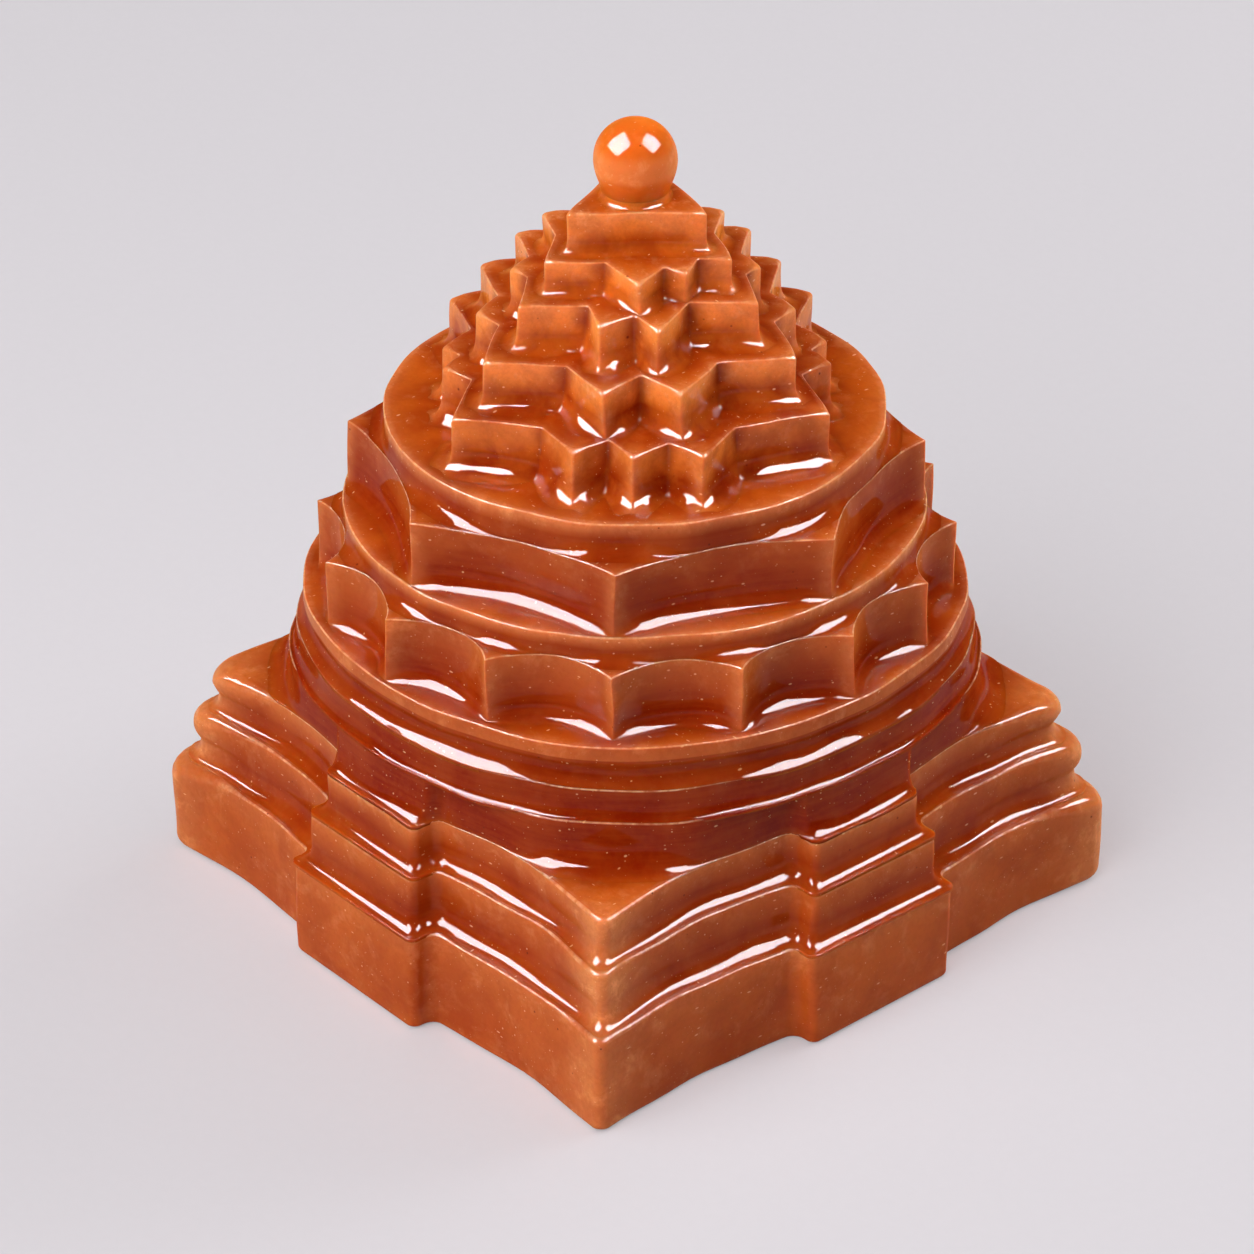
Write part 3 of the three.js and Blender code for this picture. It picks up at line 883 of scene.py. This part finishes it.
def stone_material(slot):
    """The polished stone of one of the record's slots."""
    made = bpy.data.materials.get(slot + "_polish")
    if made:
        return made
    tones = bpy.context.scene.yantra_colours
    finish = {name: values[SLOTS.index(slot)] for name, *values in FINISH}
    body = {STONE: tones.wall, THIN_STONE: tones.point, BALL_STONE: tones.ball}[slot]
    tread = tones.ball if slot == BALL_STONE else tones.tread
    made = bpy.data.materials.new(slot + "_polish")
    made.use_nodes = True
    tree = made.node_tree
    tree.nodes.clear()
    w = Wiring(tree)
    place = w.node("ShaderNodeTexCoord").outputs["Object"]

    def placed(name, build, values):
        node = tree.nodes.new("ShaderNodeGroup")
        node.node_tree = bpy.data.node_groups.get(name) or build()
        w.feed(node.inputs["Vector"], place)
        for socket, value in values.items():
            w.feed(node.inputs[socket], value)
        return node.outputs

    cloud = placed("Stone clouds", clouds_group, {"Cloud Size": finish["cloud_size"]})
    fleck = placed("Stone specks", specks_group, FLECK)["Mask"]
    dash = placed("Stone specks", specks_group, DASH)["Mask"]
    dust = placed("Stone specks", specks_group, DUST)["Mask"]
    pit = placed("Stone specks", specks_group, {
        "Spacing": 1.7 * MM, "Share": 0.5, "Speck Size": finish["pit_size"]})["Mask"]
    polish = placed("Wheel polish", polish_group, {"Ripple Size": 2.6 * MM})
    hollow, level, edge, glow = (
        w.node("ShaderNodeAttribute", attribute_name=mask).outputs["Fac"] for mask in MASKS)

    streaky = w.remap(cloud["Veil"], 0, 1, 0.65, 1.3, False)
    patchy = w.remap(cloud["Cloud"], 0, 1, 0.80, 1.0, False)
    # How strong the painted edge highlight is, varying with the polish haze
    edge_highlight_strength = w.remap(polish["Haze"], 0, 1, finish["faintest_edge"], finish["clearest_edge"], False)
    stains_and_painted_light = (
        (cloud["Cloud"], finish["cloudiness"], tones.deep),
        # Painted glow where light would come through, streaked by the veils
        (w.math("MULTIPLY", glow, streaky), finish["lightness"], tones.thin),
        (cloud["Veil"], finish["veiling"], tones.thin),
        # Painted shade in the hollows, made patchy by the clouds
        (hollow, patchy, tones.hollow),
        (cloud["Grain"], finish["graininess"], tones.deep),
        (polish["Lines"], finish["wheel_lines"], tones.wall),
        # Painted highlight line along the edges
        (edge, edge_highlight_strength, tones.line),
        (dust, 0.25, tones.fleck),
        (fleck, 0.6, tones.fleck),
        (dash, 0.6, tones.fleck),
        (pit, 0.8, tones.pit),
    )
    colour = w.mix(level, (*body, 1.0), (*tread, 1.0))
    for mask, share, tone in stains_and_painted_light:
        colour = w.mix(w.math("MULTIPLY", mask, share), colour, (*tone, 1.0))

    roughness = w.math("ADD", 0.10, w.math("MULTIPLY", polish["Haze"], 0.10))
    roughness = w.math("ADD", roughness, w.math("MULTIPLY", pit, 0.3))
    height = w.math("SUBTRACT", polish["Ripple"], w.math("MULTIPLY", pit, 0.6))
    height = w.math("ADD", height, w.math("MULTIPLY", polish["Lines"], 0.2))
    bump = w.node("ShaderNodeBump", {
        "Strength": finish["ripple"], "Distance": 0.06 * MM, "Height": height})
    shader = w.node("ShaderNodeBsdfPrincipled", {
        "Base Color": colour, "Roughness": roughness, "IOR": 1.5, "Normal": bump.outputs["Normal"],
        "Specular IOR Level": 0.0, "Subsurface Weight": 0.75,
        "Subsurface Radius": (1.0, 0.35, 0.12), "Subsurface Scale": finish["depth"],
        "Coat Weight": finish["coat"], "Coat Roughness": 0.012, "Coat IOR": 1.5,
    })
    shader.subsurface_method = "RANDOM_WALK"
    out = tree.nodes.new("ShaderNodeOutputMaterial")
    tree.links.new(shader.outputs["BSDF"], out.inputs["Surface"])
    return made


# Operators, one for each group of like levels


class CarveGateSteps(bpy.types.Operator):
    """Carve the three square steps with a gate in each side"""
    bl_idname = "yantra.gate_steps"
    bl_label = "Gate steps"

    def execute(self, context):
        steps = context.scene.yantra_steps
        for level in (2, 1):
            worn = self.worn_corners(steps, level)
            # The corners get painted glow, for light coming through them
            add_level(
                GATE_STEPS[level], STONE, lambda grow, level=level: step_outline(steps, level, grow),
                steps.cove_reach[level], steps.cove_height[level],
                wear=self.corner_wear(context, steps, level),
                belly=steps.corner_belly * worn, narrow=WORN_NARROWING * worn,
                thin=self.thin_corners(steps, level),
            )
        self.carve_lowest(context, steps)
        return {"FINISHED"}

    def worn_corners(self, steps, level):
        """How worn a step is along its outline: most at its corners, as each corner is."""
        outline = step_outline(steps, level)
        gap = np.hypot(*(steps.half[level] - np.abs(outline)).T)
        return self.by_corner(outline, steps.corner_worn) * np.exp(-(gap / steps.corner_reach) ** 2)

    def by_corner(self, outline, values):
        """For each point of an outline, the value of the corner that it is nearest to."""
        corner = np.where(outline[:, 1] < 0, outline[:, 0] > 0, 3 - (outline[:, 0] > 0))
        return np.array(values)[corner.astype(int)]

    def thin_corners(self, steps, level):
        """How much painted glow the corners of a step get, for light coming through them."""
        half = steps.half[level]
        tips = np.array([(-half, -half), (half, -half), (half, half), (-half, half)])
        outline = step_outline(steps, level)
        light = 1.0 if level else self.by_corner(outline, steps.corner_light)
        return light * near_tips(outline, tips, steps.corner_glow)

    def corner_wear(self, context, steps, level):
        """How much rounder the top edge is at the corners and at the noses of the gates."""
        edge = context.scene.yantra_polish.edge_round
        outline = np.abs(step_outline(steps, level))
        across = outline.min(axis=1) - steps.gate_half[level]
        out = outline.max(axis=1) - steps.gate_reach[level]
        nose = np.exp(-(np.hypot(across, out) / steps.gate_wear) ** 2)
        corner = self.worn_corners(steps, level)
        return 1 + (steps.corner_roll[level] / edge - 1) * corner + (steps.gate_roll / edge - 1) * nose

    def carve_lowest(self, context, steps):
        """The lowest step has no hollow foot, and its lower edge is rounded."""
        node = GATE_STEPS[0]
        bottom, top = level_span(node)
        wall = step_outline(steps, 0)
        outward = outward_of(lambda grow: step_outline(steps, 0, grow))
        rings = Rings(node, self.thin_corners(steps, 0))
        round_under = steps.foot_round * (1 + self.worn_corners(steps, 0))
        for share in (0.04, 0.25, 0.5, 0.75, 0.93):
            rings.add((wall - outward * round_under[:, None]) * share, bottom)
        for turn in np.linspace(0, math.pi / 2, 8):
            inset = round_under * (1 - math.sin(turn))
            rings.add(wall - outward * inset[:, None], bottom + round_under * (1 - math.cos(turn)))
        for height in np.linspace(bottom + 2.4 * steps.foot_round, top - 1.2 * steps.corner_roll[0], 9):
            over = (height - bottom) / (top - bottom)
            # Painted shade towards the bottom of the wall and painted glow towards its top
            rings.add(wall, height, hollow=0.25 * (1 - over), glow=0.35 * over)
        add_tread(rings, wall, outward, top, self.corner_wear(context, steps, 0), foot_on(node))
        carve(rings, STONE)


class CarveGirdles(bpy.types.Operator):
    """Carve the three round girdles"""
    bl_idname = "yantra.girdles"
    bl_label = "Girdles"

    def execute(self, context):
        girdles = context.scene.yantra_girdles
        steps = context.scene.yantra_steps
        limit = radii_at(ring_angles(), step_outline(steps, 2, -GIRDLE_KEPT_IN))
        limits = (limit, None, None)
        self.carve_upper(context, girdles)
        for level in (1, 0):
            node = GIRDLES[level]
            bottom, top = level_span(node)
            add_level(
                node, STONE,
                lambda grow, level=level: girdle_outline(girdles, level, grow, limits[level]),
                girdles.cove_reach[level], top - bottom - girdles.wall[level],
            )
        return {"FINISHED"}

    def carve_upper(self, context, girdles):
        """The band of the upper girdle overhangs a ground hollow."""
        node = GIRDLES[2]
        bottom, top = level_span(node)
        ledge = top - bottom - girdles.wall[2]
        edge = context.scene.yantra_polish.edge_round
        foot = girdles.cove_reach[2]
        rings = Rings(node)
        FEET[node] = girdle_outline(girdles, 2, foot)
        add_underside(rings, FEET[node], bottom)
        # Painted shade in the ground hollow under the band
        for share in (0, LIP_STRIP, *np.linspace(0, 1, 15)[1:]):
            swing = math.sin(math.pi * min(1.0, share * 1.08))
            grow = foot * (1 - share) ** 2 - girdles.hollow * swing
            rings.add(girdle_outline(girdles, 2, grow), bottom + ledge * share, hollow=0.6 + 0.35 * swing)
        wall = girdle_outline(girdles, 2, 0.0)
        # Painted glow on the band
        for height in np.linspace(bottom + ledge + 0.1 * MM, top - 1.4 * edge, 3):
            rings.add(wall, height, glow=0.5)
        outward = wall / np.hypot(*wall.T)[:, None]
        add_tread(rings, wall, outward, top, np.ones(len(wall)), foot_on(node))
        carve(rings, STONE)


class CarveLotus(bpy.types.Operator):
    """Carve the sixteen petals, the eight petals and the disc on each"""
    bl_idname = "yantra.lotus"
    bl_label = "Lotus tiers"

    def execute(self, context):
        lotus = context.scene.yantra_lotus
        polish = context.scene.yantra_polish
        for level, count in ((1, 8), (0, 16)):
            petals, disc = LOTUS_TIERS[level], LOTUS_DISCS[level]
            tip, inner = lotus.tip_radius[level], lotus.disc_radius[level]

            def petals_at(grow, count=count, tip=tip, inner=inner):
                return petal_outline(count, tip, inner, polish.petal_round, grow)

            bottom, top = level_span(disc)
            limit = radii_at(ring_angles(), petals_at(-KEPT_IN))

            def disc_at(grow, inner=inner, limit=limit):
                radii = np.full(RING_POINTS, inner + grow)
                return polar(ring_angles(), smooth_least(radii, limit, DISC_BLEND))

            add_level(disc, STONE, disc_at, lotus.disc_cove[level], top - bottom - lotus.disc_wall[level])
            # Painted glow at the petal tips, for light coming through them
            tips = polar(np.arange(count) * 2 * math.pi / count, np.full(count, tip))
            add_level(
                petals, STONE, petals_at, lotus.cove_reach[level], lotus.cove_height[level],
                thin=TIP_LIGHT * near_tips(petals_at(0.0), tips, polish.glow_reach),
            )
        return {"FINISHED"}


class CarveTiers(bpy.types.Operator):
    """Carve the four pointed tiers and the central triangle"""
    bl_idname = "yantra.tiers"
    bl_label = "Pointed tiers"

    def execute(self, context):
        tiers = context.scene.yantra_tiers
        polish = context.scene.yantra_polish
        nodes = (*POINTED_TIERS, TRIANGLE)
        corners = [top_corners(node) for node in nodes]

        def tier(level, grow):
            return filleted(corners[level], grow, polish.tip_round, polish.notch_round)

        for level in reversed(range(len(nodes))):
            wall = tier(level, 0.0)
            tips = corners[level][turn_at(corners[level]) > 0]
            notches = corners[level][turn_at(corners[level]) < 0]
            # Painted shade in the notches and painted glow at the tips
            dark = NOTCH_DARKNESS * near_tips(wall, notches, tiers.notch_shade) if len(notches) else 0.0
            add_level(
                nodes[level], THIN_STONE, lambda grow, level=level: tier(level, grow),
                tiers.cove_reach[level], tiers.cove_height[level],
                below=tier(level - 1, -KEPT_IN) if level else None,
                wear=point_wear(wall, corners[level], polish),
                narrow=TIP_NARROWING * near_tips(wall, corners[level], tiers.cove_end),
                thin=TIP_LIGHT * near_tips(wall, tips, polish.glow_reach), dark=dark,
            )
        return {"FINISHED"}


class CarveBindu(bpy.types.Operator):
    """Turn the ball at the top and the neck under it"""
    bl_idname = "yantra.bindu"
    bl_label = "Bindu"

    def execute(self, context):
        bindu = context.scene.yantra_bindu
        self.carve_neck(bindu)
        self.carve_ball(bindu)
        return {"FINISHED"}

    def carve_neck(self, bindu):
        bottom, top = level_span(COLLAR)
        rings = Rings(COLLAR)
        foot = ring_outline(bindu.foot)
        neck = ring_outline(bindu.neck)
        add_underside(rings, foot, bottom)
        add_cove(rings, neck, foot, bottom, top - bottom, hollow=0.0)
        for share in (0.8, 0.5, 0.2):
            rings.add(neck * share, top)
        carve(rings, THIN_STONE, hand=0.2)

    def carve_ball(self, bindu):
        bottom, top = level_span(BALL)
        centre = top - bindu.radius
        rings = Rings(BALL)
        for share in (0.2, 0.6, 0.9):
            rings.add(ring_outline(bindu.neck * share), bottom)
        start = math.asin((bottom - centre) / bindu.radius)
        for turn in np.linspace(start, math.pi / 2, 56)[:-1]:
            height = centre + bindu.radius * math.sin(turn)
            radius = bindu.radius * math.cos(turn)
            neck = bindu.neck if turn < 0 else 0.0
            widest = -smooth_least(np.array(-radius), np.array(-neck), NECK_BLEND)
            # Painted shade towards the ball's foot, and a pale band painted round its middle for the
            # floor's reflection
            low = max(0.0, 1 - (height - bottom) / (2.0 * MM))
            band = 1 / (1 + ((height - centre - bindu.band) / bindu.band_half) ** 8)
            rings.add(ring_outline(float(widest)), height, hollow=0.42 * low, glow=band)
        carve(rings, BALL_STONE, hand=0.2)


def area_lamp(name, direction, distance, width, watts, glints=True, fills=True):
    """A square softbox that faces the middle of the stone, seen in its polish, lighting it, or both."""
    light = bpy.data.lights.new(name, "AREA")
    light.shape = "SQUARE"
    light.size = width
    light.energy = watts
    light.color = (1.0, 0.965, 0.985)
    lamp = bpy.data.objects.new(name, light)
    bpy.context.scene.collection.objects.link(lamp)
    aim = Vector((0, 0, (CAD_BOX[0].z + CAD_BOX[1].z) / 2))
    lamp.location = aim + Vector(direction).normalized() * distance
    lamp.rotation_mode = "QUATERNION"
    lamp.rotation_quaternion = (lamp.location - aim).to_track_quat("Z", "Y")
    lamp.visible_glossy = glints
    lamp.visible_diffuse = fills
    lamp.visible_transmission = fills
    lamp.visible_volume_scatter = fills


class SetStage(bpy.types.Operator):
    """Lay the pale floor, hang the lamps and set the camera"""
    bl_idname = "yantra.stage"
    bl_label = "Stage, lamps and camera"

    def execute(self, context):
        self.lay_floor(context)
        self.hang_lamps(context)
        self.set_camera(context)
        context.scene.view_settings.view_transform = "Standard"
        return {"FINISHED"}

    def lay_floor(self, context):
        half = 3.0
        below = 0.02 * MM
        floor_glow = 0.63
        mesh = bpy.data.meshes.new("floor")
        corners = [(-half, -half, 0), (half, -half, 0), (half, half, 0), (-half, half, 0)]
        mesh.from_pydata(corners, [], [(0, 1, 2, 3)])
        floor = bpy.data.objects.new("floor", mesh)
        floor.location.z = -below
        context.scene.collection.objects.link(floor)
        made = bpy.data.materials.new("floor_paper")
        made.use_nodes = True
        w = Wiring(made.node_tree)
        shader = made.node_tree.nodes["Principled BSDF"]
        place = w.node("ShaderNodeTexCoord").outputs["Object"]
        grain = w.noise(place, 900.0, 4.0, 0.6)
        tone = context.scene.yantra_colours.floor
        path = w.node("ShaderNodeLightPath")
        paper = w.mix(w.remap(grain, 0.3, 0.7), (*[c * 0.985 for c in tone], 1.0), (*tone, 1.0))
        w.feed(shader.inputs["Base Color"], paper)
        w.feed(shader.inputs["Roughness"], w.remap(grain, 0.3, 0.7, 0.5, 0.6))
        w.feed(shader.inputs["Specular IOR Level"], 0.0)
        w.feed(shader.inputs["Emission Color"], (*tone, 1.0))
        seen = path.outputs["Is Camera Ray"]
        for ray in ("Is Glossy Ray", "Is Transmission Ray"):
            seen = w.math("MAXIMUM", seen, path.outputs[ray])
        w.feed(shader.inputs["Emission Strength"], w.math("MULTIPLY", seen, floor_glow))
        mesh.materials.append(made)

    def hang_lamps(self, context):
        world = bpy.data.worlds.new("studio")
        context.scene.world = world
        world.use_nodes = True
        background = world.node_tree.nodes["Background"]
        background.inputs["Color"].default_value = (0.95, 0.93, 0.92, 1.0)
        background.inputs["Strength"].default_value = 0.05
        left, right = (-0.303, -0.590, 0.741), (0.505, 0.370, 0.767)
        front, above, back = (0.190, -0.797, 0.574), (0.0, 0.15, 0.98), (0.12, 0.94, 0.30)
        area_lamp("left_softbox", left, 0.60, 0.40, 1.0)
        area_lamp("right_softbox", right, 0.60, 0.40, 0.3)
        area_lamp("front_fill", front, 0.80, 0.70, 5.9, glints=False)
        area_lamp("top_fill", above, 1.00, 1.00, 2.6, glints=False)
        area_lamp("back_fill", back, 0.80, 0.60, 5.2, glints=False)
        area_lamp("left_glint", left, 0.59, 0.50, 61.0, fills=False)
        area_lamp("right_glint", right, 0.59, 0.43, 44.0, fills=False)

    def set_camera(self, context):
        azimuth, elevation = math.radians(49.0), math.radians(30.7)
        distance = 0.440
        aim = Vector((-0.46 * MM, -0.53 * MM, 23.57 * MM))
        back = Vector((
            math.sin(azimuth) * math.cos(elevation),
            -math.cos(azimuth) * math.cos(elevation),
            math.sin(elevation),
        ))
        data = bpy.data.cameras.new("camera")
        data.sensor_width = 36.0
        data.lens = 145.9
        data.clip_start, data.clip_end = 0.01, 20.0
        camera = bpy.data.objects.new("camera", data)
        context.scene.collection.objects.link(camera)
        camera.location = aim + back * distance
        camera.rotation_mode = "QUATERNION"
        camera.rotation_quaternion = back.to_track_quat("Z", "Y")
        context.scene.camera = camera


OPERATORS = (SetStage, CarveBindu, CarveTiers, CarveLotus, CarveGirdles, CarveGateSteps)
GROUPS = {
    "yantra_polish": PolishSizes,
    "yantra_steps": GateStepSizes,
    "yantra_girdles": GirdleSizes,
    "yantra_lotus": LotusSizes,
    "yantra_tiers": TierSizes,
    "yantra_bindu": BinduSizes,
    "yantra_colours": StoneAndPaintedLightColours,
}


class YantraPanel(bpy.types.Panel):
    """Lists the steps that carve the yantra"""
    bl_idname = "VIEW3D_PT_yantra"
    bl_label = "Raised shri yantra"
    bl_space_type = "VIEW_3D"
    bl_region_type = "UI"
    bl_category = "Yantra"

    def draw(self, context):
        for operator in OPERATORS:
            self.layout.operator(operator.bl_idname)
        for group in GROUPS:
            box = self.layout.box()
            settings = getattr(context.scene, group)
            for name in settings.__annotations__:
                box.prop(settings, name)


def register():
    for kind in (*GROUPS.values(), *OPERATORS, YantraPanel):
        bpy.utils.register_class(kind)
    for name, kind in GROUPS.items():
        setattr(bpy.types.Scene, name, PointerProperty(type=kind))


def unregister():
    for name in GROUPS:
        delattr(bpy.types.Scene, name)
    for kind in reversed((*GROUPS.values(), *OPERATORS, YantraPanel)):
        bpy.utils.unregister_class(kind)


def main():
    register()
    bpy.ops.yantra.stage()
    bpy.ops.yantra.bindu()
    bpy.ops.yantra.tiers()
    bpy.ops.yantra.lotus()
    bpy.ops.yantra.girdles()
    bpy.ops.yantra.gate_steps()


if __name__ == "__main__":
    main()
